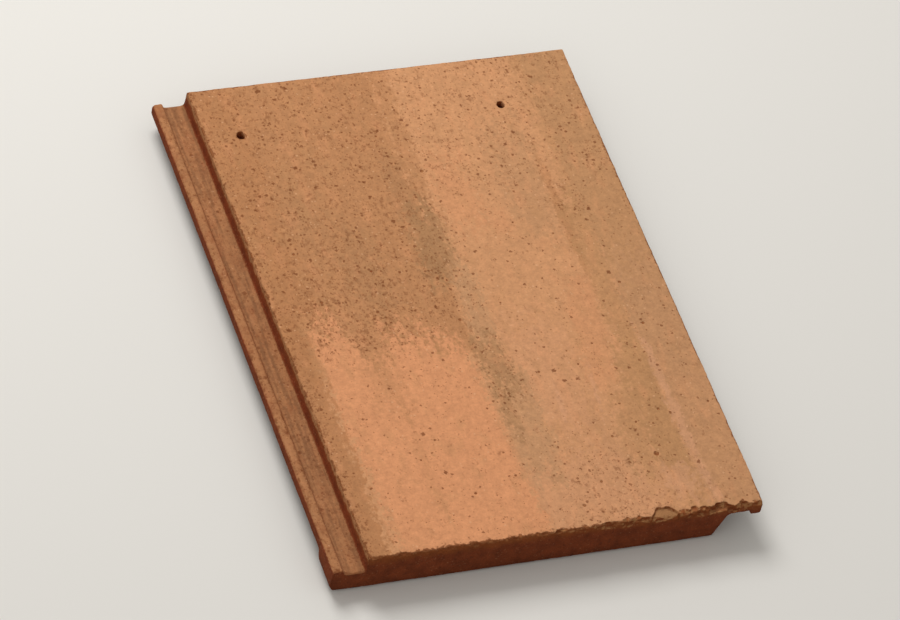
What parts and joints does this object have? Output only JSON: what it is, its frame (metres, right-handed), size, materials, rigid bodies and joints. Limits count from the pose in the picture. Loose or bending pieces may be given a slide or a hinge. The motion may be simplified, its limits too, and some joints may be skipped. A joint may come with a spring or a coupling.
{
  "type": "flat interlocking concrete roof tile",
  "caption": "Flat interlocking concrete roof tile: plain blended top, side underlock channel and overlock flange, ribbed underside with nose bar, batten lugs and nail holes.",
  "frame": {"origin": "middle of the tile's footprint, on the level that its nose and lugs stand on", "axes": "+X across the tile towards the overlock flange, +Y up the roof from nose to head, +Z out of the top face"},
  "size_m": [0.314, 0.432, 0.032],
  "materials": {
    "concrete": "matte"
  },
  "bodies": {
    "root": {"roof_tile": "concrete"}
  },
  "joints": []
}
